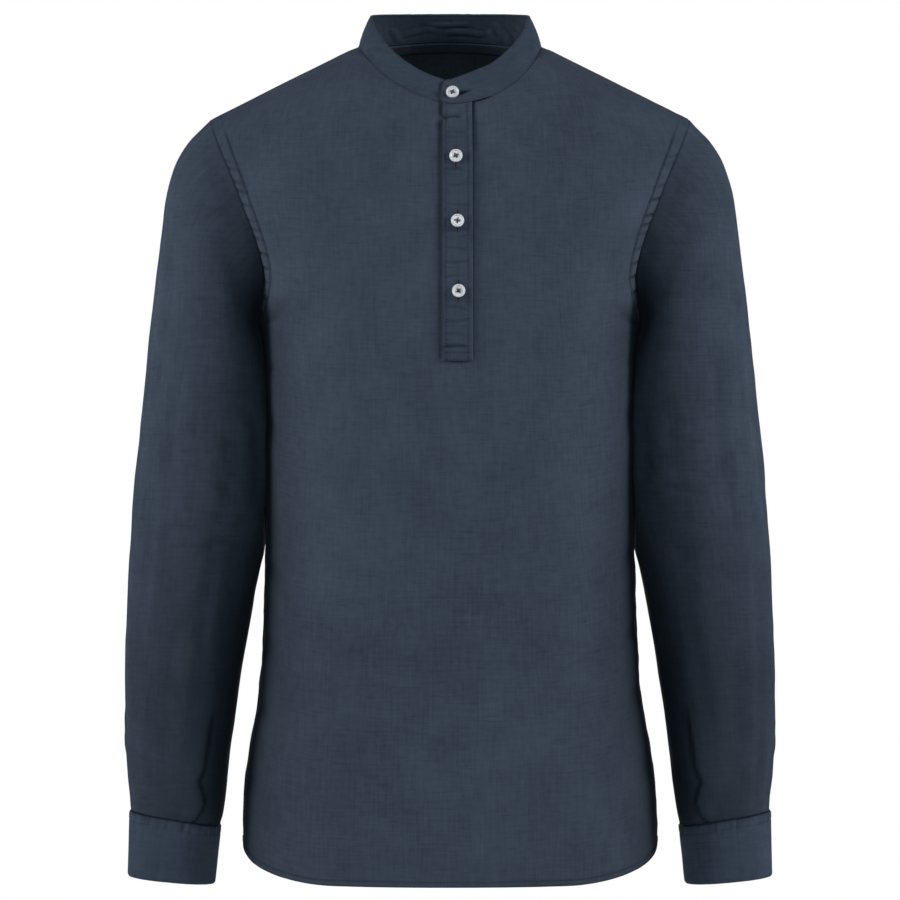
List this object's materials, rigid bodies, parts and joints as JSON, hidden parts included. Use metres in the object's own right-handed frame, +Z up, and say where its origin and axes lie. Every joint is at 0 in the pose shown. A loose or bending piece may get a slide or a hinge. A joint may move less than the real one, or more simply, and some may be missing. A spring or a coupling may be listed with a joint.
{
  "type": "mandarin collar shirt",
  "caption": "Long-sleeved linen shirt with a mandarin band collar and a buttoned half placket, filled out as when worn, with open neck, hem and cuffs.",
  "frame": {"origin": "the middle of the neck opening, level with the inner ends of the shoulder seams and over the side seams", "axes": "+Z up, the front faces -Y, +X is the wearer's left"},
  "size_m": [0.5834, 0.2698, 0.7884],
  "materials": {
    "linen": "plain-woven, garment-washed linen, matt, slightly slubby",
    "button": "pale pearly resin, soft gloss"
  },
  "bodies": {
    "root": {"front": "linen", "back": "linen", "placket_under": "linen", "placket_upper": "linen", "collar_band": "linen", "sleeve_left": "linen", "sleeve_right": "linen", "sleeve_placket_left": "linen", "sleeve_placket_right": "linen", "cuff_left": "linen", "cuff_right": "linen", "button_collar": "button", "button_placket_1": "button", "button_placket_2": "button", "button_placket_3": "button", "button_cuff_left": "button", "button_cuff_right": "button"}
  },
  "joints": []
}
